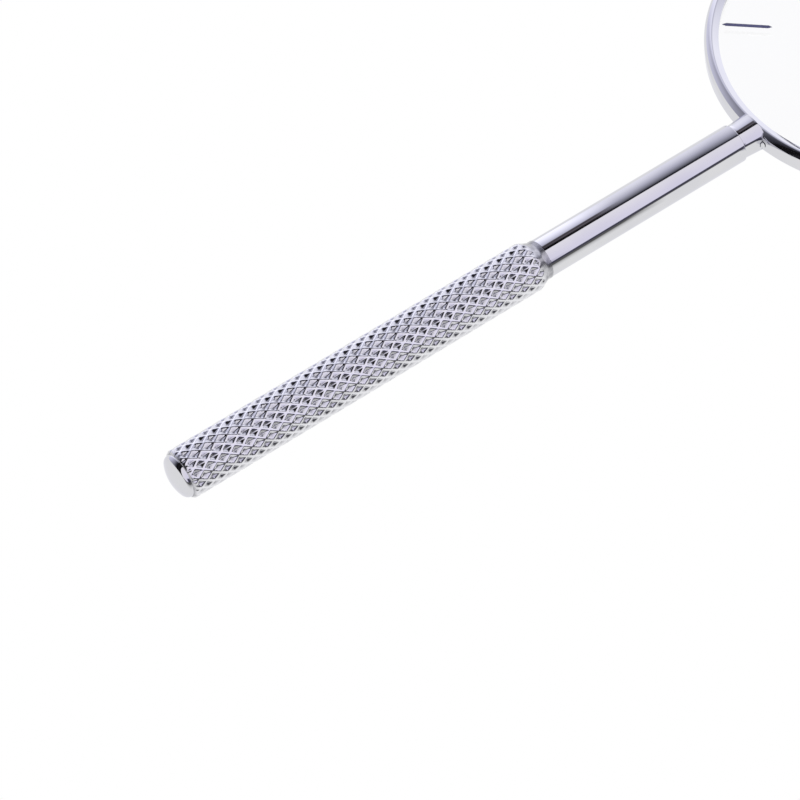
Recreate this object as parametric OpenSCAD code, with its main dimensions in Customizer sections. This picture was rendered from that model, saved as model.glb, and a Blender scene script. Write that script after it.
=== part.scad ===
// Hand-held cross-cylinder lens: a round lens in a plated rim on a knurled handle.
// Units are millimetres. The origin is the centre of the lens, +Z is the optical axis,
// and the handle runs from the rim towards -X.

/* [Lens] */
// Thickness of the lens
lens_t = 1.1; // [0.8:0.05:1.3]
// How far the lip of the rim covers the edge of the lens
lens_cover = 0.4; // [0.3:0.05:0.5]
// Bevel on both edges of the lens
lens_bevel = 0.15; // [0.05:0.05:0.25]
// Radial clearance between the lens and its seat
lens_gap = 0.05; // [0.02:0.01:0.08]

/* [Axis marks] */
// Length of one axis mark
mark_len = 5.15; // [3:0.05:8]
// Width of one axis mark
mark_w = 0.4; // [0.2:0.05:0.6]
// Length of each pointed end of a mark
mark_point = 0.4; // [0.2:0.05:0.8]
// Depth of the filled groove in the lens
mark_depth = 0.12; // [0.05:0.01:0.2]
// Gap between a mark and the edge of the rim's aperture
mark_inset = 0.25; // [0.05:0.05:1]
// Angle between the handle and the black marks
mark_angle = 45; // [30:1:60]

/* [Rim] */
// Outer diameter of the rim
rim_od = 41.6; // [30:0.2:60]
// Radial width of the rim's section
rim_w = 1.5; // [1.3:0.05:2.4]
// Height of the rim along the optical axis
rim_h = 2.45; // [2.1:0.05:3]
// Radius of the upper outer corner of the rim's section
rim_round = 0.85; // [0.3:0.05:0.9]
// Radius of the lower outer corner of the rim's section
rim_back_round = 0.7; // [0.3:0.05:0.75]
// Width of the bezel that slopes from the rim's crown to its aperture
bezel_w = 0.65; // [0.3:0.05:0.7]
// How far the bezel slopes down towards the lens
bezel_drop = 0.34; // [0.1:0.02:0.36]

/* [Retaining ring] */
// Diameter of the spring wire under the lens
wire_d = 0.4; // [0.3:0.02:0.4]
// How far the wire sits in its groove
wire_bite = 0.15; // [0.1:0.01:0.2]
// Clearance round the wire
wire_gap = 0.02; // [0.01:0.01:0.03]
// Angle left open between the ends of the wire
wire_split = 12; // [5:1:40]

/* [Collar] */
// Diameter of the collar
collar_d = 3.95; // [3.4:0.05:4.1]
// Length of the collar from the rim's outer wall to the seam
collar_len = 2.0; // [1.2:0.1:6]
// How far the collar laps over the crown of the rim
collar_lap = 0.5; // [0.2:0.05:0.7]
// Diameter of the collar's threaded tail
screw_d = 2.4; // [1.8:0.1:2.8]
// Length of the collar's threaded tail
screw_len = 5; // [3:0.5:12]
// Gap between the collar and the rim that the solder bridges
solder_gap = 0.02; // [0.01:0.01:0.04]
// Width of the solder fillet along the collar and along the rim
fillet_r = 0.35; // [0.2:0.05:0.6]
// Thickness of the solder where the fillet runs out
fillet_edge = 0.06; // [0.03:0.01:0.08]

/* [Stem] */
// Diameter of the smooth stem
stem_d = 4.1; // [3.6:0.1:4.4]
// Length of the smooth stem
stem_len = 24.5; // [12:0.1:60]
// Diameter of the rod that runs on through the grip
core_d = 3.0; // [2.4:0.1:3.2]
// Small chamfer on the edges that meet at a seam
edge_break = 0.08; // [0.02:0.01:0.15]

/* [Grip] */
// Diameter over the crests of the knurl
grip_d = 5.2; // [5:0.1:7]
// Length of the grip without the end cap
grip_len = 43.5; // [25:0.5:80]
// Length of the smooth shoulder at the front of the grip
shoulder_len = 1.6; // [1:0.1:3]
// Length of the plain lip in front of the shoulder's cone
shoulder_lip = 0.5; // [0.2:0.1:0.8]
// How far the front edge of the grip stands above the stem
shoulder_step = 0.05; // [0:0.01:0.1]
// Chamfer at the tail of the grip, where the end cap's dome starts
tail_chamfer = 0.3; // [0.1:0.05:0.4]

/* [End cap] */
// Height of the domed end
dome_h = 1.0; // [0.95:0.05:1.6]
// Radius of the dome's shoulder
dome_round = 0.6; // [0.4:0.1:0.9]
// Outer diameter of the cap's threaded sleeve
sleeve_d = 4.0; // [3.8:0.1:4.2]
// Length of the cap's threaded sleeve
sleeve_len = 4; // [2:0.5:8]

/* [Fits] */
// Radial clearance of a screwed or a pushed-in joint
fit_gap = 0.04; // [0.02:0.01:0.08]
// Space left past the end of a rod or a screw
end_gap = 0.3; // [0.1:0.1:1]

/* [Hidden] */
$fn = 96;

chrome = [0.80, 0.80, 0.84];
steel = [0.62, 0.62, 0.66];
solder = [0.74, 0.74, 0.76];
glass = [0.85, 0.93, 0.95, 0.35];
black_enamel = [0.05, 0.05, 0.12];
red_enamel = [0.72, 0.08, 0.08];

rim_r = rim_od / 2;
aperture_r = rim_r - rim_w;
// The upper outer corner stays inside the wall that the bezel leaves
crown_round = min(rim_round, rim_w - bezel_w);
lens_r = aperture_r + lens_cover;
seat_r = lens_r + lens_gap;
lens_top = lens_t / 2;
mark_r = aperture_r - mark_inset - mark_len / 2;

wire_r = wire_d / 2;
wire_at_r = seat_r - wire_r + wire_bite;
wire_at_z = -(lens_top + wire_gap + wire_r);

// Stations along the handle, measured from the lens centre
collar_end = rim_r - collar_lap;
seam_at = rim_r + collar_len;
grip_at = seam_at + stem_len;
cap_at = grip_at + grip_len;
core_end = cap_at - end_gap;

grip_r = grip_d / 2;
cap_r = grip_r - tail_chamfer;
far = rim_od;

// Puts children, drawn round +Z, on the handle's axis at a distance from the lens centre
module on_handle(distance) {
    rotate([0, -90, 0]) translate([0, 0, distance]) children();
}

// A round bar with a chamfer on both ends
module bar(d, len, chamfer) {
    rotate_extrude() polygon([
        [0, 0], [d / 2 - chamfer, 0], [d / 2, chamfer],
        [d / 2, len - chamfer], [d / 2 - chamfer, len], [0, len]]);
}

// The section of the rim beside the optical axis, grown outwards by a gap: a round outer side,
// a crown, and a bezel that slopes down from it to the aperture
module rim_section(gap = 0) {
    top = rim_h / 2;
    corner = [rim_r - crown_round, top - crown_round];
    back_corner = [rim_r - rim_back_round, rim_back_round - top];
    polygon([
        [aperture_r, -top - gap], [back_corner[0], -top - gap],
        [corner[0], top + gap], [aperture_r + bezel_w, top + gap],
        [aperture_r, top - bezel_drop + gap]]);
    translate([corner[0], back_corner[1]]) square([crown_round + gap, corner[1] - back_corner[1]]);
    translate(corner) circle(crown_round + gap);
    translate(back_corner) circle(rim_back_round + gap);
}

// Everything that the rim fills, with its seat closed
module rim_envelope(gap = 0) {
    rotate_extrude() rim_section(gap);
}

// One axis mark with its two pointed ends, lying along +X
module mark_outline() {
    polygon([
        [-mark_len / 2, 0],
        [-mark_len / 2 + mark_point, mark_w / 2], [mark_len / 2 - mark_point, mark_w / 2],
        [mark_len / 2, 0],
        [mark_len / 2 - mark_point, -mark_w / 2], [-mark_len / 2 + mark_point, -mark_w / 2]]);
}

// Two marks opposite each other, flush with the top of the lens
module mark_pair(angle, extra = 0) {
    for (side = [0, 180])
        rotate(angle + side)
            translate([mark_r, 0, lens_top - mark_depth])
                linear_extrude(mark_depth + extra) mark_outline();
}

module black_marks_solid(extra = 0) { mark_pair(180 - mark_angle, extra); }
module red_marks_solid(extra = 0) { mark_pair(90 - mark_angle, extra); }

// The glass disc, bevelled, with a groove for each mark
module lens() {
    color(glass) difference() {
        translate([0, 0, -lens_top]) bar(2 * lens_r, lens_t, lens_bevel);
        black_marks_solid(1);
        red_marks_solid(1);
    }
}

module black_axis_marks() { color(black_enamel) black_marks_solid(); }

module red_axis_marks() { color(red_enamel) red_marks_solid(); }

// The rim: a rounded ring with a lip above the lens and a groove below it
module rim() {
    color(chrome) rotate_extrude() difference() {
        rim_section();
        translate([0, -rim_h]) square([seat_r, rim_h + lens_top]);
        translate([wire_at_r, wire_at_z]) circle(wire_r + wire_gap);
    }
}

// The split spring wire that holds the lens up against the lip
module retaining_ring() {
    color(steel) rotate(wire_split / 2)
        rotate_extrude(angle = 360 - wire_split)
            translate([wire_at_r, wire_at_z]) circle(wire_r, $fn = 32);
}

// The short boss that saddles the rim and screws into the stem
module collar() {
    color(chrome) {
        difference() {
            on_handle(collar_end - collar_lap)
                bar(collar_d, seam_at - collar_end + collar_lap, edge_break);
            cylinder(r = collar_end, h = far, center = true);
            rim_envelope(solder_gap);
        }
        on_handle(seam_at - 0.5) cylinder(d = screw_d, h = screw_len + 0.5);
    }
}

// The solder at both sides of the collar, hollowed between the collar and the rim's flat wall
module solder_fillet() {
    color(solder) intersection() {
        difference() {
            on_handle(rim_r - fillet_r) rotate_extrude() difference() {
                translate([collar_d / 2, 0]) square([fillet_r, 2 * fillet_r]);
                translate([collar_d / 2 + fillet_r, 2 * fillet_r])
                    circle(fillet_r - fillet_edge);
            }
            cylinder(r = rim_r, h = far, center = true);
        }
        cube([2 * far, far, rim_h - 2 * crown_round], center = true);
    }
}

// The smooth rod: a bored front end, a plain length, and a thinner rod through the grip
module stem() {
    color(chrome) difference() {
        union() {
            on_handle(seam_at) bar(stem_d, stem_len, edge_break);
            on_handle(grip_at - 0.5) cylinder(d = core_d, h = core_end - grip_at + 0.5);
        }
        on_handle(seam_at - 1)
            cylinder(r = screw_d / 2 + fit_gap, h = screw_len + end_gap + 1);
    }
}

// The knurled sleeve, over the crests of its knurl, with a smooth shoulder and a tail chamfer
module grip() {
    front_r = stem_d / 2 + shoulder_step;
    color(chrome) difference() {
        on_handle(grip_at) rotate_extrude() polygon([
            [0, 0], [front_r, 0], [front_r, shoulder_lip], [grip_r, shoulder_len],
            [grip_r, grip_len - tail_chamfer], [cap_r, grip_len], [0, grip_len]]);
        on_handle(grip_at - 1) cylinder(r = core_d / 2 + fit_gap, h = grip_len + 2);
        on_handle(cap_at - sleeve_len - end_gap)
            cylinder(r = sleeve_d / 2 + fit_gap, h = sleeve_len + end_gap + 1);
    }
}

// Half of the dome's outline: a shallow cap that runs into a round shoulder
module dome_outline() {
    rise = dome_h - dome_round;
    shoulder_r = cap_r - dome_round;
    centre = (shoulder_r * shoulder_r - rise * rise) / (2 * rise);
    crown_r = dome_h + centre;
    join_r = crown_r * shoulder_r / (crown_r - dome_round);
    intersection() {
        translate([0, -centre]) circle(crown_r);
        square([join_r, dome_h]);
    }
    intersection() {
        translate([shoulder_r, 0]) circle(dome_round);
        square([cap_r, dome_h]);
    }
    square([shoulder_r, dome_round / 2]);
}

// The domed nut that closes the tail and clamps the grip on the stem
module end_cap() {
    color(chrome) difference() {
        union() {
            on_handle(cap_at) rotate_extrude() dome_outline();
            on_handle(cap_at - sleeve_len) cylinder(d = sleeve_d, h = sleeve_len + dome_round / 4);
        }
        on_handle(cap_at - sleeve_len - 1)
            cylinder(r = core_d / 2 + fit_gap, h = sleeve_len + 1);
    }
}

lens();
black_axis_marks();
red_axis_marks();
rim();
retaining_ring();
collar();
solder_fillet();
stem();
grip();
end_cap();
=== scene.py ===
"""Looks of a hand-held cross-cylinder lens: plated rim and handle, clear glass, enamel axis marks.

The frame is the CAD model: metres, the origin at the centre of the lens, +Z along the optical
axis, and the handle running towards -X. Places on the handle are given as a distance from the
lens centre towards the handle's end.
"""

import math

import bmesh
import bpy
from mathutils import Matrix, Vector


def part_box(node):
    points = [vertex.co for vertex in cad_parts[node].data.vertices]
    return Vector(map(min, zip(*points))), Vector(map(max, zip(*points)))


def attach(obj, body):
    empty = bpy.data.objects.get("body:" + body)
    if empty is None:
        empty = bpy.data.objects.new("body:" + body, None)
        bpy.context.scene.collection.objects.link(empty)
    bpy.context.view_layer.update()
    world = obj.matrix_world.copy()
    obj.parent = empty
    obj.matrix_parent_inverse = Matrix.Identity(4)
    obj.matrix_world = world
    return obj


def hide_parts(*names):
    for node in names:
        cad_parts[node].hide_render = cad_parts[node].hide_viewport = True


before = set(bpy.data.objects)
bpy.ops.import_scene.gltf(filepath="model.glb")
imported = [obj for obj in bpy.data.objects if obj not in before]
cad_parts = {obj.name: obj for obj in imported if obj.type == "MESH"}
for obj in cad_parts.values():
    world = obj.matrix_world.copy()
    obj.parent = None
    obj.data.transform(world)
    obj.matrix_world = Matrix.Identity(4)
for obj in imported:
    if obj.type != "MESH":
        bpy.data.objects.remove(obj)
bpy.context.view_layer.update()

MM = 0.001

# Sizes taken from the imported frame
rim_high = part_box("rim")[1]
lens_low, lens_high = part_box("lens")
wire_low, wire_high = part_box("retaining_ring")
collar_low, collar_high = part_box("collar")
stem_low, stem_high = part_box("stem")
grip_low, grip_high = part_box("grip")
cap_low, cap_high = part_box("end_cap")
fillet_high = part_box("solder_fillet")[1]

RIM_R = rim_high.x
RIM_TOP = rim_high.z
LENS_R = lens_high.x
LENS_TOP = lens_high.z
WIRE_R = (wire_high.z - wire_low.z) / 2
WIRE_Z = (wire_high.z + wire_low.z) / 2
WIRE_RING_R = wire_high.y - WIRE_R
COLLAR_R = collar_high.z
COLLAR_TAIL = -collar_low.x
SEAM_AT = -stem_high.x
STEM_R = stem_high.z
ROD_END = -stem_low.x
GRIP_AT = -grip_high.x
CAP_AT = -grip_low.x
GRIP_R = grip_high.z
TIP_AT = -cap_low.x
SLEEVE_END = -cap_high.x

# Sizes that the frame's boxes don't show
APERTURE_R = RIM_R - 1.5 * MM
SEAT_R = LENS_R + 0.05 * MM
RIM_ROUND = 0.85 * MM
RIM_BACK_ROUND = 0.7 * MM
CROWN_EASE = 0.05 * MM
BEZEL_W = 0.65 * MM
BEZEL_DROP = 0.34 * MM
WIRE_GAP = 0.02 * MM
WIRE_SPLIT = math.radians(12)
COLLAR_SADDLE_R = RIM_R - 0.5 * MM
SOLDER_GAP = 0.02 * MM
FILLET_SIZE = 0.35 * MM
FILLET_EDGE = 0.06 * MM
COLLAR_FLARE = 0.14 * MM
SCREW_R = 1.2 * MM
ROD_R = 1.5 * MM
SLEEVE_R = 2.0 * MM
FIT_GAP = 0.04 * MM
END_GAP = 0.3 * MM
EDGE_ROUND = 0.09 * MM
SHOULDER_LEN = 1.6 * MM
SHOULDER_LIP = 0.5 * MM
SHOULDER_STEP = 0.05 * MM
TAIL_CHAMFER = 0.3 * MM
DOME_ROUND = 0.6 * MM
MARK_LEN = 5.15 * MM
MARK_W = 0.4 * MM
MARK_POINT = 0.4 * MM
MARK_DEPTH = 0.12 * MM
MARK_PROUD = 0.006 * MM
MARK_R = APERTURE_R - 0.25 * MM - MARK_LEN / 2
MARK_ANGLE = math.radians(45)

# The diamond knurl: its starts each way round, its pitch along the grip (27 diamonds in 42 mm), its
# depth, the grid's steps on each flank, the flat share of a ridge, its phase at the tail, and the
# smooth length in front of it and the length over which it then deepens
KNURL_STARTS = 14
KNURL_PITCH = 42 * MM / 27
KNURL_DEPTH = 0.27 * MM
KNURL_STEPS = 6
KNURL_RIDGE = 1 / KNURL_STEPS
KNURL_PHASE = 0.5
KNURL_START = 0.6 * MM
KNURL_RISE = 0.5 * MM

# How far the floor reaches each way, in metres
FLOOR_HALF = 3


# ---------------------------------------------------------------- outlines

def arc(centre, radius, start, end, steps):
    """Points on an arc between two angles in degrees."""
    turns = [math.radians(start + (end - start) * i / steps) for i in range(steps + 1)]
    return [(centre[0] + radius * math.cos(t), centre[1] + radius * math.sin(t)) for t in turns]


def rounded(corners, steps=5):
    """A closed outline from (x, y, corner radius), with each corner that has a radius made an arc."""
    outline = []
    count = len(corners)
    for i, (x, y, radius) in enumerate(corners):
        corner = Vector((x, y))
        before = Vector(corners[i - 1][:2]) - corner
        after = Vector(corners[(i + 1) % count][:2]) - corner
        half = before.angle(after) / 2 if radius else 0
        if not radius or half > math.radians(89):
            outline.append((x, y))
            continue
        reach = min(radius / math.tan(half), 0.49 * before.length, 0.49 * after.length)
        centre = corner + (before.normalized() + after.normalized()).normalized() * reach / math.cos(half)
        start = corner + before.normalized() * reach - centre
        end = corner + after.normalized() * reach - centre
        sweep = start.angle_signed(end)
        for k in range(steps + 1):
            point = centre + Matrix.Rotation(-sweep * k / steps, 2) @ start
            outline.append((point.x, point.y))
    return outline


# ---------------------------------------------------------------- meshes

def make_piece(name, verts, faces, material, sharp=35):
    """A mesh object with outward normals, smooth shading and sharp edges above an angle."""
    mesh = bpy.data.meshes.new(name)
    mesh.from_pydata(verts, [], faces)
    work = bmesh.new()
    work.from_mesh(mesh)
    bmesh.ops.remove_doubles(work, verts=work.verts, dist=1e-7)
    bmesh.ops.recalc_face_normals(work, faces=work.faces)
    work.to_mesh(mesh)
    work.free()
    mesh.shade_smooth()
    mesh.set_sharp_from_angle(angle=math.radians(sharp))
    mesh.materials.append(material)
    piece = bpy.data.objects.new(name, mesh)
    bpy.context.scene.collection.objects.link(piece)
    return piece


def on_handle(along, radius, turn):
    """A place at a distance along the handle, and at a radius and an angle round it."""
    return (-along, radius * math.cos(turn), radius * math.sin(turn))


def on_rim(radius, height, turn):
    """A place at a radius from the optical axis, at a height and an angle round it."""
    return (radius * math.cos(turn), radius * math.sin(turn), height)


def ring_faces(rings, size, close_rings=True):
    """Quads between rings of points that each close on themselves."""
    faces = []
    for i in range(rings if close_rings else rings - 1):
        here = i * size
        there = (i + 1) % rings * size
        for j in range(size):
            k = (j + 1) % size
            faces.append((here + j, here + k, there + k, there + j))
    return faces


def open_faces(base, steps, size):
    """Quads between the turns of an outline that is open at both ends, from the point at base."""
    faces = []
    for i in range(steps):
        here = base + i * size
        there = base + (i + 1) % steps * size
        faces += [(here + j, here + j + 1, there + j + 1, there + j) for j in range(size - 1)]
    return faces


def lathe(name, outline, place, steps, material, sharp=35):
    """A closed outline turned once round an axis: place gives the point at each angle."""
    verts = []
    for i in range(steps):
        turn = 2 * math.pi * i / steps
        verts += [place(a, b, turn) for a, b in outline]
    return make_piece(name, verts, ring_faces(steps, len(outline)), material, sharp)


def handle_piece(name, outline, material, steps=128, sharp=35):
    """A piece turned round the handle, from an outline of (distance along, radius)."""
    return lathe(name, outline, on_handle, steps, material, sharp)


# ---------------------------------------------------------------- lens, marks and rim

def mark_corners(grow=0.0):
    """The outline of one axis mark along +X, with its two points."""
    half_len = MARK_LEN / 2 + grow
    half_w = MARK_W / 2 + grow
    neck = half_len - MARK_POINT
    right = [(neck, -half_w), (half_len, 0), (neck, half_w)]
    return right + [(-x, -y) for x, y in right]


def mark_prisms(angles, levels):
    """Points and faces of prisms at some angles: levels are (height, growth) from the bottom up."""
    verts = []
    faces = []
    for angle in angles:
        turn = Matrix.Rotation(angle, 2)
        base = len(verts)
        size = len(mark_corners())
        for height, grow in levels:
            for x, y in mark_corners(grow):
                point = turn @ Vector((x + MARK_R, y))
                verts.append((point.x, point.y, height))
        sides = ring_faces(len(levels), size, close_rings=False)
        faces += [tuple(base + v for v in face) for face in sides]
        faces.append(tuple(base + v for v in range(size)))
        faces.append(tuple(base + (len(levels) - 1) * size + v for v in range(size)))
    return verts, faces


def mark_angles(first):
    """The two opposite directions of a pair of marks."""
    return [first, first + math.pi]


BLACK_ANGLES = mark_angles(math.pi - MARK_ANGLE)
RED_ANGLES = mark_angles(math.pi / 2 - MARK_ANGLE)


def build_marks(name, angles, material):
    """Enamel that fills its grooves and stands a hair proud, with a soft top edge."""
    soft = 0.02 * MM
    levels = [(LENS_TOP - MARK_DEPTH, 0), (LENS_TOP - MARK_PROUD, 0),
              (LENS_TOP + 0.6 * MARK_PROUD, -0.3 * soft), (LENS_TOP + MARK_PROUD, -soft)]
    verts, faces = mark_prisms(angles, levels)
    return make_piece(name, verts, faces, material, 50)


def build_lens(material):
    """The bevelled glass disc, with a groove for each mark."""
    bevel = 0.15 * MM
    steps = 256
    outline = [(LENS_R - bevel, lens_low.z), (LENS_R, lens_low.z + bevel),
               (LENS_R, LENS_TOP - bevel), (LENS_R - bevel, LENS_TOP)]
    verts = []
    for i in range(steps):
        verts += [on_rim(r, z, 2 * math.pi * i / steps) for r, z in outline]
    size = len(outline)
    faces = open_faces(0, steps, size)
    faces.append(tuple(i * size for i in range(steps)))
    faces.append(tuple(i * size + size - 1 for i in range(steps)))
    lens = make_piece("lens_glass", verts, faces, material, 30)

    clear = 0.012 * MM
    levels = [(LENS_TOP - MARK_DEPTH - clear, clear), (LENS_TOP + MARK_DEPTH, clear)]
    cutter = make_piece("groove_cutter", *mark_prisms(BLACK_ANGLES + RED_ANGLES, levels), material)
    cut = lens.modifiers.new("grooves", "BOOLEAN")
    cut.operation = "DIFFERENCE"
    cut.solver = "EXACT"
    cut.object = cutter
    apply_modifiers(lens)
    bpy.data.objects.remove(cutter)
    lens.data.set_sharp_from_angle(angle=math.radians(30))
    return lens


def apply_modifiers(piece):
    """Puts the result of a piece's modifiers into its mesh."""
    seen = piece.evaluated_get(bpy.context.evaluated_depsgraph_get())
    mesh = bpy.data.meshes.new_from_object(seen)
    piece.modifiers.clear()
    piece.data = mesh


def rim_outline():
    """The rim's section: a seat open from below, a wire groove, a lip and a rounded outer side."""
    lip = 0.02 * MM
    groove_r = WIRE_R + WIRE_GAP
    half = math.degrees(math.acos((SEAT_R - WIRE_RING_R) / groove_r))
    back = arc((RIM_R - RIM_BACK_ROUND, RIM_BACK_ROUND - RIM_TOP), RIM_BACK_ROUND, -90, 0, 14)
    front = arc((RIM_R - RIM_ROUND, RIM_TOP - RIM_ROUND), RIM_ROUND, 0, 88, 18)
    crown_r = APERTURE_R + BEZEL_W
    slope = BEZEL_DROP / BEZEL_W
    crown = [(crown_r - CROWN_EASE, RIM_TOP - 1.15 * slope * CROWN_EASE)]
    seat = rounded([
        (crown_r - 2 * CROWN_EASE, RIM_TOP - 2 * slope * CROWN_EASE, 0),
        (APERTURE_R, RIM_TOP - BEZEL_DROP, 0), (APERTURE_R, LENS_TOP, lip), (SEAT_R, LENS_TOP, 0)], 4)
    groove = arc((WIRE_RING_R, WIRE_Z), groove_r, half, -half, 12)
    bottom = [(SEAT_R, -RIM_TOP + lip), (SEAT_R + lip, -RIM_TOP)]
    return back + front + crown + seat + groove + bottom


def build_rim(material):
    """The plated ring that carries the lens."""
    return lathe("rim_ring", rim_outline(), on_rim, 512, material, 28)


def build_wire(material):
    """The split spring wire under the lens, with rounded ends."""
    around = 20
    steps = 220
    first = WIRE_SPLIT / 2
    last = 2 * math.pi - first
    # Each end, as (distance in from the end, radius there), both as shares of the wire's radius
    ends = [(0, 0.6), (0.12, 0.85), (0.4, 1)]
    stations = [(first + WIRE_R / WIRE_RING_R * inward, share) for inward, share in ends]
    middle = [(first + (last - first) * i / steps, 1) for i in range(2, steps - 1)]
    stations += middle + [(2 * math.pi - turn, share) for turn, share in reversed(stations)]
    verts = []
    for turn, share in stations:
        for x, y in arc((WIRE_RING_R, WIRE_Z), WIRE_R * share, 0, 360, around)[:-1]:
            verts.append(on_rim(x, y, turn))
    faces = ring_faces(len(stations), around, close_rings=False)
    faces.append(tuple(range(around)))
    faces.append(tuple(range(len(verts) - around, len(verts))))
    return make_piece("retaining_wire", verts, faces, material, 40)


# ---------------------------------------------------------------- collar and solder

def rim_reach(height):
    """How far out the rim and the solder's gap reach at a height, from the optical axis."""
    corner = RIM_ROUND if height > 0 else RIM_BACK_ROUND
    over = abs(height) - (RIM_TOP - corner)
    if over <= 0:
        return RIM_R + SOLDER_GAP
    if over >= corner + SOLDER_GAP:
        return 0
    return RIM_R - corner + math.sqrt((corner + SOLDER_GAP) ** 2 - over ** 2)


def saddle(y, z):
    """The distance along the handle at which the collar's coped end starts."""
    reach = max(COLLAR_SADDLE_R, rim_reach(z))
    return math.sqrt(reach ** 2 - y ** 2)


def coped_outline():
    """The collar's coped end and the start of its wall, as (radius, distance behind the saddle)."""
    edge = 0.07 * MM
    inner = [(COLLAR_R * share, 0.0) for share in (0.0, 0.3, 0.6, 0.85, 0.95)]
    corner = [(COLLAR_R - edge, 0.0), (COLLAR_R - 0.7 * edge, 0.08 * edge),
              (COLLAR_R - 0.3 * edge, 0.3 * edge), (COLLAR_R - 0.08 * edge, 0.65 * edge),
              (COLLAR_R, 1.1 * edge)]
    return inner + corner + [(COLLAR_R - 0.008 * MM, 1.1 * edge + 0.15 * MM)]


def tail_outline():
    """The collar's outline from the end of its flare, round the seam, to the end of its screw."""
    wall_left = 0.4 * MM
    tip_chamfer = 0.2 * MM
    seam_r = COLLAR_R - COLLAR_FLARE
    flare_r = seam_r + COLLAR_FLARE * wall_left / (SEAM_AT - RIM_R)
    return rounded([
        (SEAM_AT - wall_left, flare_r, 0), (SEAM_AT, seam_r, EDGE_ROUND), (SEAM_AT, SCREW_R, 0),
        (COLLAR_TAIL - tip_chamfer, SCREW_R, 0), (COLLAR_TAIL, SCREW_R - tip_chamfer, 0),
        (COLLAR_TAIL, 0, 0)])


def build_collar(material):
    """The boss that saddles the rim, slightly flared towards it, with its screwed tail."""
    steps = 240
    turns = [2 * math.pi * i / steps for i in range(steps)]
    coped = coped_outline()
    tail = tail_outline()
    verts = []
    for turn in turns:
        for radius, lift in coped:
            y = radius * math.cos(turn)
            z = radius * math.sin(turn)
            verts.append((-saddle(y, z) - lift, y, z))
    body = len(verts)
    for turn in turns:
        verts += [on_handle(along, radius, turn) for along, radius in tail]
    faces = open_faces(0, steps, len(coped)) + open_faces(body, steps, len(tail))
    for i in range(steps):
        k = (i + 1) % steps
        wall = ((i + 1) * len(coped) - 1, (k + 1) * len(coped) - 1)
        faces.append((wall[0], body + i * len(tail), body + k * len(tail), wall[1]))
    return make_piece("collar_saddle", verts, faces, material, 40)


def fillet_ring(z, steps=10):
    """The outline of a fillet at a height: its corner, and the hollow between rim and collar."""
    fade = math.sqrt(max(0.0, 1 - (z / fillet_high.z) ** 4))
    size = FILLET_SIZE * (0.35 + 0.65 * fade)
    wall_y = math.sqrt(COLLAR_R ** 2 - z ** 2)
    rim_x = math.sqrt(RIM_R ** 2 - (wall_y + size) ** 2)
    corner = (math.sqrt(RIM_R ** 2 - wall_y ** 2) + 0.005 * MM, wall_y + 0.001 * MM)
    return [corner] + arc((rim_x + size, wall_y + size), size - FILLET_EDGE, -90, -180, steps)


def build_solder(material):
    """The two concave fillets between the collar's sides and the rim's wall."""
    rows = 24
    half = fillet_high.z
    count = len(fillet_ring(0))
    verts = []
    faces = []
    for side in (-1, 1):
        base = len(verts)
        for i in range(rows + 1):
            z = half * (2 * i / rows - 1)
            verts += [(-x, side * y, z) for x, y in fillet_ring(z)]
        faces += [tuple(base + v for v in face) for face in ring_faces(rows + 1, count, False)]
        faces.append(tuple(base + v for v in range(count)))
        faces.append(tuple(base + rows * count + v for v in range(count)))
    return make_piece("solder_fillets", verts, faces, material, 60)


# ---------------------------------------------------------------- handle

def build_stem(material):
    """The smooth rod, bored at its front, with a thinner rod through the grip."""
    bore_r = SCREW_R + FIT_GAP
    bore_end = COLLAR_TAIL + END_GAP
    outline = rounded([
        (bore_end, 0, 0), (bore_end, bore_r, 0), (SEAM_AT, bore_r, 0.05 * MM),
        (SEAM_AT, STEM_R, EDGE_ROUND), (GRIP_AT, STEM_R, EDGE_ROUND), (GRIP_AT, ROD_R, 0),
        (ROD_END, ROD_R, 0.2 * MM), (ROD_END, 0, 0)])
    return handle_piece("stem_rod", outline, material, 192)


def knurl_fall(u, v):
    """How deep the knurl is at a place, as a share of its depth, from its two phases."""
    away = min(abs(phase - round(phase)) * 2 for phase in (u, v))
    return max(0.0, away - KNURL_RIDGE) / (1 - KNURL_RIDGE)


def knurl_radius(along, turn):
    """The grip's radius: the knurl, run out on the smooth cone at the front and the tail's chamfer."""
    u = KNURL_STARTS * turn / (2 * math.pi)
    v = (along - CAP_AT) / KNURL_PITCH + KNURL_PHASE
    start = min(1.0, max(0.0, (along - GRIP_AT - KNURL_START) / KNURL_RISE))
    knurled = GRIP_R - start * KNURL_DEPTH * knurl_fall(u + v, u - v)
    front_r = STEM_R + SHOULDER_STEP
    slope = (GRIP_R - front_r) / (SHOULDER_LEN - SHOULDER_LIP)
    cone = front_r + max(0.0, slope * (along - GRIP_AT - SHOULDER_LIP))
    tail = GRIP_R - TAIL_CHAMFER + (CAP_AT - along)
    return min(knurled, cone, tail)


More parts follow.
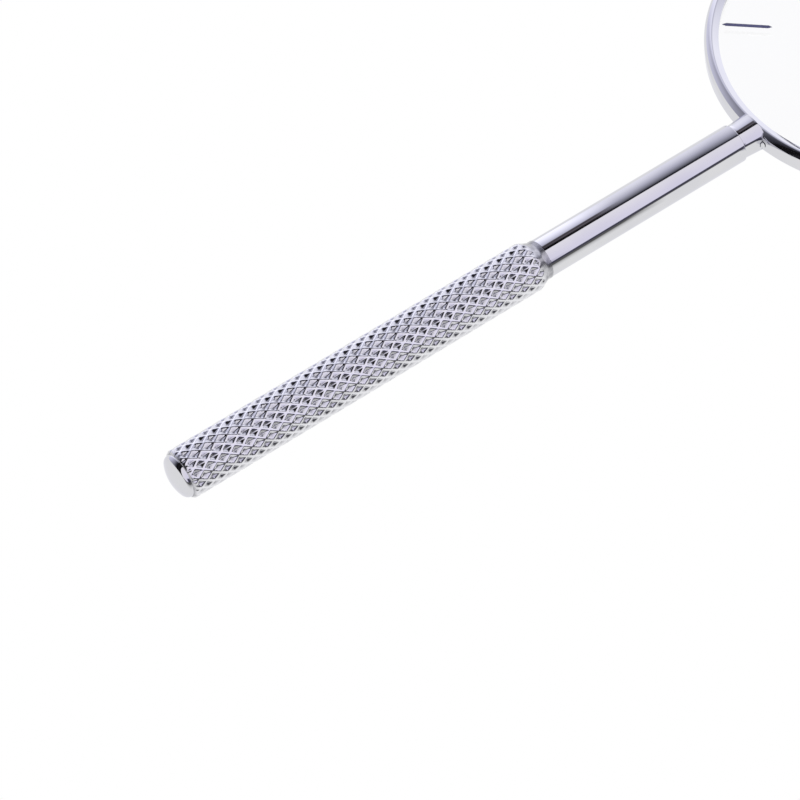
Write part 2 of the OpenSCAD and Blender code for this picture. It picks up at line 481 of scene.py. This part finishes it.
def build_grip(material):
    """The knurled sleeve: a fine grid whose steps fall on the knurl's own lines, over a stepped bore."""
    around = KNURL_STARTS * 2 * KNURL_STEPS
    step = KNURL_PITCH / (2 * KNURL_STEPS)
    rows = int((CAP_AT - GRIP_AT) / step)
    stations = [CAP_AT - i * step for i in range(rows + 1)]
    if stations[-1] - GRIP_AT < 0.2 * step:
        stations.pop()
    stations.append(GRIP_AT)
    bore = [(GRIP_AT, ROD_R + FIT_GAP), (SLEEVE_END - END_GAP, ROD_R + FIT_GAP),
            (SLEEVE_END - END_GAP, SLEEVE_R + FIT_GAP), (CAP_AT, SLEEVE_R + FIT_GAP)]
    verts = []
    for along in stations:
        for j in range(around):
            turn = 2 * math.pi * j / around
            verts.append(on_handle(along, knurl_radius(along, turn), turn))
    for along, radius in bore:
        verts += [on_handle(along, radius, 2 * math.pi * j / around) for j in range(around)]
    rings = len(stations) + len(bore)
    faces = []
    for i in range(rings):
        for j in range(around):
            k = (j + 1) % around
            a = i * around + j
            b = i * around + k
            c = (i + 1) % rings * around + k
            d = (i + 1) % rings * around + j
            if i >= len(stations) - 1:
                faces.append((a, b, c, d))
            # The faces along one set of ridges are split the other way, so that its edges stay straight
            elif (i + j) % KNURL_STEPS == KNURL_STEPS - 1:
                faces += [(a, b, d), (b, c, d)]
            else:
                faces += [(a, b, c), (a, c, d)]
    return make_piece("knurled_grip", verts, faces, material, 60)


def dome_outline(steps=20):
    """The shallow dome: a round shoulder from its foot, and a wide crown up to the tip on the axis."""
    height = TIP_AT - CAP_AT
    foot_r = GRIP_R - TAIL_CHAMFER - 0.01 * MM
    shoulder_r = foot_r - DOME_ROUND
    rise = height - DOME_ROUND
    below = (shoulder_r ** 2 - rise ** 2) / (2 * rise)
    crown_r = height + below
    join = math.degrees(math.atan2(below, shoulder_r))
    shoulder = arc((CAP_AT, shoulder_r), DOME_ROUND, 90, 90 - join, steps)
    crown = arc((CAP_AT - below, 0), crown_r, 90 - join, 0, steps)
    return shoulder + crown[1:-1] + [(TIP_AT, 0)]


def build_cap(material):
    """The domed nut, with the sleeve that screws into the grip."""
    sleeve = rounded([
        (CAP_AT, 0, 0), (CAP_AT, ROD_R + FIT_GAP, 0), (SLEEVE_END, ROD_R + FIT_GAP, 0.05 * MM),
        (SLEEVE_END, SLEEVE_R, 0.1 * MM), (CAP_AT, SLEEVE_R, 0)])
    return handle_piece("end_dome", sleeve + dome_outline(), material, 128, 30)


# ---------------------------------------------------------------- materials

def new_material(name):
    """A material with nodes: the material, its tree and its Principled shader."""
    material = bpy.data.materials.new(name)
    material.use_nodes = True
    tree = material.node_tree
    shader = tree.nodes["Principled BSDF"]
    return material, tree, shader


def add_node(tree, kind, inputs=None, **settings):
    """Adds a node, sets its properties, and sets or links its inputs."""
    node = tree.nodes.new(kind)
    for key, value in settings.items():
        setattr(node, key, value)
    for key, value in (inputs or {}).items():
        if isinstance(value, bpy.types.NodeSocket):
            tree.links.new(value, node.inputs[key])
        else:
            node.inputs[key].default_value = value
    return node


def noise(tree, scale, detail=4.0, stretch=(1, 1, 1)):
    """Noise in object space, so that it stays on the piece."""
    place = add_node(tree, "ShaderNodeTexCoord")
    scaled = add_node(tree, "ShaderNodeMapping", {"Vector": place.outputs["Object"], "Scale": stretch})
    field = {"Vector": scaled.outputs["Vector"], "Scale": scale, "Detail": detail}
    return add_node(tree, "ShaderNodeTexNoise", field).outputs["Fac"]


def spread(tree, value, low, high, from_low=0.3, from_high=0.7):
    """Maps a value to a range."""
    limits = {"Value": value, "From Min": from_low, "From Max": from_high, "To Min": low, "To Max": high}
    return add_node(tree, "ShaderNodeMapRange", limits).outputs["Result"]


def blend(tree, amount, first, second):
    """Mixes two colours by an amount."""
    mix = add_node(tree, "ShaderNodeMix", data_type="RGBA")
    tree.links.new(amount, mix.inputs["Factor"])
    mix.inputs["A"].default_value = (*first, 1)
    mix.inputs["B"].default_value = (*second, 1)
    return mix.outputs["Result"]


def bump(tree, shader, height, distance, strength=1.0):
    """Adds a bump of a real height to a shader."""
    bumped = add_node(tree, "ShaderNodeBump", {"Height": height, "Distance": distance, "Strength": strength})
    tree.links.new(bumped.outputs["Normal"], shader.inputs["Normal"])


def chrome_material(name, pale=(0.70, 0.70, 0.715), dim=(0.66, 0.66, 0.69), rough=(0.03, 0.06)):
    """Polished plating with faint handling haze and a slight orange peel."""
    material, tree, shader = new_material(name)
    shader.inputs["Metallic"].default_value = 1.0
    shader.inputs["Specular Tint"].default_value = (0.92, 0.92, 0.96, 1)
    haze = noise(tree, 260, 5)
    tree.links.new(blend(tree, spread(tree, haze, 0, 1), dim, pale), shader.inputs["Base Color"])
    smear = noise(tree, 900, 6, (0.25, 1, 1))
    tree.links.new(spread(tree, smear, *rough), shader.inputs["Roughness"])
    bump(tree, shader, noise(tree, 700, 2), 0.0000012)
    return material


def knurled_material():
    """Plating over the knurl with painted shade: its colour darkens with depth from bright ridges to near
    black, rougher pits, patchy with noise.
    """
    material, tree, shader = new_material("plated_knurl")
    shader.inputs["Metallic"].default_value = 1.0
    place = add_node(tree, "ShaderNodeTexCoord").outputs["Object"]
    flat = add_node(tree, "ShaderNodeVectorMath", {0: place, 1: (0, 1, 1)}, operation="MULTIPLY")
    radius = add_node(tree, "ShaderNodeVectorMath", {0: flat.outputs["Vector"]}, operation="LENGTH")
    depth = spread(tree, radius.outputs["Value"], 1, 0, GRIP_R - KNURL_DEPTH, GRIP_R)
    knurl_speckle = noise(tree, 1400, 5)
    # Painted shade: the plating's colour darkens with depth from the pale ridge colour to near black at the
    # bottom of the pits, unevenly by noise; the pits are also rougher
    pit_shade = add_node(tree, "ShaderNodeMath", {0: depth, 1: knurl_speckle}, operation="MULTIPLY").outputs["Value"]
    colour = blend(tree, pit_shade, (0.78, 0.78, 0.81), (0.04, 0.04, 0.06))
    tree.links.new(colour, shader.inputs["Base Color"])
    tree.links.new(spread(tree, pit_shade, 0.07, 0.28, 0, 0.7), shader.inputs["Roughness"])
    bump(tree, shader, knurl_speckle, 0.000001)
    return material


def glass_material():
    """Clear polished glass with a coating that cuts its reflections, and a faint haze from cleaning."""
    material, tree, shader = new_material("clear_glass")
    shader.inputs["Base Color"].default_value = (1, 1, 1, 1)
    shader.inputs["Transmission Weight"].default_value = 1.0
    shader.inputs["IOR"].default_value = 1.52
    shader.inputs["Specular IOR Level"].default_value = 0.12
    tree.links.new(spread(tree, noise(tree, 300, 5), 0.0, 0.012), shader.inputs["Roughness"])
    return material


def enamel_material(name, deep, pale, rough=0.35):
    """Enamel filling with a slightly uneven colour and surface."""
    material, tree, shader = new_material(name)
    grain = noise(tree, 2500, 4)
    tree.links.new(blend(tree, spread(tree, grain, 0, 1), deep, pale), shader.inputs["Base Color"])
    tree.links.new(spread(tree, grain, rough - 0.08, rough + 0.08), shader.inputs["Roughness"])
    bump(tree, shader, grain, 0.000004)
    return material


def drawn_material(name, dim, pale, rough, stretch):
    """Drawn or wiped metal with fine lines along one direction."""
    material, tree, shader = new_material(name)
    shader.inputs["Metallic"].default_value = 1.0
    lines = noise(tree, 1500, 6, stretch)
    tree.links.new(blend(tree, spread(tree, lines, 0, 1), dim, pale), shader.inputs["Base Color"])
    tree.links.new(spread(tree, lines, *rough), shader.inputs["Roughness"])
    bump(tree, shader, lines, 0.000003)
    return material


# ---------------------------------------------------------------- studio

def ramp(tree, value, stops):
    """A colour for each value, from (value, colour) stops."""
    node = add_node(tree, "ShaderNodeValToRGB", {"Fac": value})
    elements = node.color_ramp.elements
    while len(elements) < len(stops):
        elements.new(0.5)
    for element, (at, colour) in zip(elements, stops):
        element.position = at
        element.color = (*colour, 1)
    return node.outputs["Color"]


def choose(tree, amount, first, second):
    """The first colour where the amount is 0, and the second where it is 1."""
    mix = add_node(tree, "ShaderNodeMix", data_type="RGBA")
    tree.links.new(amount, mix.inputs["Factor"])
    tree.links.new(first, mix.inputs["A"])
    tree.links.new(second, mix.inputs["B"])
    return mix.outputs["Result"]


def multiply(tree, first, second):
    """One colour times another."""
    mix = add_node(tree, "ShaderNodeMix", data_type="RGBA", blend_type="MULTIPLY")
    mix.inputs["Factor"].default_value = 1
    tree.links.new(first, mix.inputs["A"])
    tree.links.new(second, mix.inputs["B"])
    return mix.outputs["Result"]


def total(tree, first, second):
    """The sum of two values."""
    return add_node(tree, "ShaderNodeMath", {0: first, 1: second}, operation="ADD").outputs["Value"]


def white_colour(tree):
    """A colour that leaves what it multiplies as it is."""
    colour = add_node(tree, "ShaderNodeRGB").outputs[0]
    colour.default_value = (1, 1, 1, 1)
    return colour


def studio_wall(tree, x, y):
    """The wall behind, brighter towards the right-hand lamp, past the softbox's dark edge and a stand."""
    rise = spread(tree, y, 0.115, 1.135, 0, 1)
    left = spread(tree, x, -0.5, 0, 0.0, 0.3)
    right = spread(tree, x, 0, 0.8, 0.5, 0.85)
    level = total(tree, total(tree, rise, left), right)
    wall = ramp(tree, spread(tree, level, 0, 1, 0, 1.2), [
        (0.0, (0.03, 0.03, 0.04)), (0.05, (0.05, 0.05, 0.065)), (0.5, (0.59, 0.59, 0.72)),
        (1.0, (1.18, 1.18, 1.30))])
    edge = ramp(tree, spread(tree, y, 0, 1, -0.17, 0.02), [
        (0.0, (0.04, 0.04, 0.05)), (0.7, (0.30, 0.30, 0.34)), (1.0, (1, 1, 1))])
    stand = ramp(tree, spread(tree, y, 0, 1, -0.2, 0.8), [
        (0.00, (0.30, 0.26, 0.25)), (0.26, (0.34, 0.29, 0.27)), (0.32, (0.75, 0.70, 0.66)),
        (0.38, (0.24, 0.21, 0.20)), (0.52, (0.26, 0.23, 0.22)), (0.57, (1.35, 1.35, 1.35))])
    dark = choose(tree, spread(tree, x, 0, 1, 0.375, 0.335), white_colour(tree), stand)
    return multiply(tree, multiply(tree, wall, edge), dark)


def studio_softbox(tree, x, y, z):
    """The softbox in front, over a dark gap that is taller on the left and ends at the far left."""
    box = ramp(tree, spread(tree, y, 0, 1, -1, 0), [
        (0.0, (0.90, 0.87, 1.07)), (0.5, (1.0, 0.97, 1.08)), (1.0, (1.06, 1.04, 1.08))])
    low_gap = ramp(tree, spread(tree, z, 0, 1, 0, 0.25), [
        (0.00, (0.07, 0.07, 0.09)), (0.56, (0.07, 0.07, 0.09)), (0.72, (1, 1, 1))])
    tall_gap = ramp(tree, spread(tree, z, 0, 1, 0, 0.5), [
        (0.0, (0.06, 0.06, 0.08)), (0.6, (0.06, 0.06, 0.08)), (0.75, (1, 1, 1))])
    left_gap = choose(tree, spread(tree, x, 0, 1, -0.55, -0.4), white_colour(tree), tall_gap)
    gap = choose(tree, spread(tree, x, 0, 1, 0.12, 0.28), left_gap, low_gap)
    return multiply(tree, box, gap)


def build_world():
    """Plain white to the camera and to matt surfaces; the plating reflects a wall and a softbox."""
    world = bpy.data.worlds.new("studio")
    bpy.context.scene.world = world
    world.use_nodes = True
    tree = world.node_tree
    tree.nodes.clear()
    place = add_node(tree, "ShaderNodeTexCoord").outputs["Generated"]
    parts = add_node(tree, "ShaderNodeSeparateXYZ", {"Vector": place})
    x, y, z = (parts.outputs[axis] for axis in "XYZ")

    in_front = spread(tree, y, 1, 0, -0.17, -0.15)
    studio = choose(tree, in_front, studio_wall(tree, x, y), studio_softbox(tree, x, y, z))

    seen = add_node(tree, "ShaderNodeBackground", {"Color": studio, "Strength": 1.0})
    plain = add_node(tree, "ShaderNodeBackground", {"Color": (1, 1, 1, 1), "Strength": 1.0})
    glossy = add_node(tree, "ShaderNodeLightPath").outputs["Is Glossy Ray"]
    mix = add_node(tree, "ShaderNodeMixShader", {0: glossy, 1: plain.outputs[0], 2: seen.outputs[0]})
    out = add_node(tree, "ShaderNodeOutputWorld")
    tree.links.new(mix.outputs[0], out.inputs["Surface"])


def floor_material():
    """A plain white glow, which the plating sees fall off a little way in front of the handle."""
    material = bpy.data.materials.new("white_sweep")
    material.use_nodes = True
    tree = material.node_tree
    tree.nodes.clear()
    place = add_node(tree, "ShaderNodeTexCoord").outputs["Object"]
    parts = add_node(tree, "ShaderNodeSeparateXYZ", {"Vector": place})
    by_rim = spread(tree, parts.outputs["X"], 0, RIM_R, -RIM_R - 10 * MM, -RIM_R)
    forward = total(tree, parts.outputs["Y"], by_rim)
    lit = spread(tree, forward, 0.12, 1, -22 * MM, -6 * MM)
    glossy = add_node(tree, "ShaderNodeLightPath").outputs["Is Glossy Ray"]
    level = add_node(tree, "ShaderNodeMix", {"Factor": glossy, "A": 1.0, "B": lit}).outputs["Result"]
    glow = add_node(tree, "ShaderNodeEmission", {"Color": (1, 1, 1, 1), "Strength": level})
    out = add_node(tree, "ShaderNodeOutputMaterial")
    tree.links.new(glow.outputs[0], out.inputs["Surface"])
    return material


def build_floor():
    """The sweep that the lens lies on: it touches the rim's back and the grip's shoulder."""
    rim_touch = Vector((RIM_R - RIM_BACK_ROUND, 0, -RIM_TOP))
    grip_touch = Vector((-GRIP_AT - SHOULDER_LEN, 0, -GRIP_R))
    along = (rim_touch - grip_touch).normalized()
    across = Vector((0, 1, 0))
    corners = [(-1, -1), (1, -1), (1, 1), (-1, 1)]
    verts = [rim_touch + FLOOR_HALF * (a * along + b * across) for a, b in corners]
    mesh = bpy.data.meshes.new("floor")
    mesh.from_pydata(verts, [], [(0, 1, 2, 3)])
    floor = bpy.data.objects.new("floor", mesh)
    bpy.context.scene.collection.objects.link(floor)
    mesh.materials.append(floor_material())


def build_light():
    """One large soft light above, which only matt surfaces see: the plating reflects the studio."""
    lamp = bpy.data.lights.new("soft_light", "AREA")
    lamp.energy = 1.5
    lamp.size = 0.6
    light = bpy.data.objects.new("soft_light", lamp)
    light.location = (-0.1, -0.2, 0.6)
    light.rotation_euler = (Vector(light.location)).to_track_quat("Z", "Y").to_euler()
    light.visible_glossy = False
    light.visible_camera = False
    bpy.context.scene.collection.objects.link(light)


def build_camera():
    """A long lens from the front left, high over the handle."""
    aim = Vector((-68.88, -5.83, 0)) * MM
    azimuth = math.radians(-32.07)
    elevation = math.radians(48.95)
    roll = math.radians(-5.86)
    distance = 488.84 * MM
    data = bpy.data.cameras.new("camera")
    data.sensor_width = 36
    data.lens = 228.06
    data.clip_start = 0.01
    data.clip_end = 10
    camera = bpy.data.objects.new("camera", data)
    back = Vector((math.sin(azimuth) * math.cos(elevation), -math.cos(azimuth) * math.cos(elevation),
                   math.sin(elevation)))
    right = Vector((math.cos(azimuth), math.sin(azimuth), 0))
    up = back.cross(right)
    turned = right * math.cos(roll) + up * math.sin(roll)
    basis = Matrix((turned, back.cross(turned), back)).transposed().to_4x4()
    camera.matrix_world = Matrix.Translation(aim + back * distance) @ basis
    bpy.context.scene.collection.objects.link(camera)
    bpy.context.scene.camera = camera


# ---------------------------------------------------------------- assembly

def build_object():
    """Every piece, the CAD node that it stands for and the record's slot for its finish."""
    chrome = chrome_material("polished_chrome")
    navy = enamel_material("navy_enamel", (0.035, 0.035, 0.10), (0.06, 0.06, 0.15))
    red = enamel_material("red_enamel", (0.50, 0.015, 0.02), (0.62, 0.03, 0.03))
    spring = drawn_material("spring_wire", (0.45, 0.45, 0.47), (0.58, 0.58, 0.60), (0.18, 0.32), (1, 1, 8))
    solder = drawn_material("plated_solder", (0.62, 0.62, 0.65), (0.70, 0.70, 0.72), (0.05, 0.12), (1, 1, 1))
    pieces = [
        (build_lens(glass_material()), "lens", "glass"),
        (build_marks("navy_marks", BLACK_ANGLES, navy), "black_axis_marks", "black_enamel"),
        (build_marks("red_marks", RED_ANGLES, red), "red_axis_marks", "red_enamel"),
        (build_rim(chrome), "rim", "chrome"),
        (build_wire(spring), "retaining_ring", "spring_steel"),
        (build_collar(chrome), "collar", "chrome"),
        (build_solder(solder), "solder_fillet", "solder"),
        (build_stem(chrome), "stem", "chrome"),
        (build_grip(knurled_material()), "grip", "knurled_chrome"),
        (build_cap(chrome), "end_cap", "chrome"),
    ]
    for piece, node, slot in pieces:
        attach(piece, "root")
        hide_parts(node)


build_camera()
build_world()
build_floor()
build_light()
build_object()
bpy.context.scene.view_settings.view_transform = "Standard"
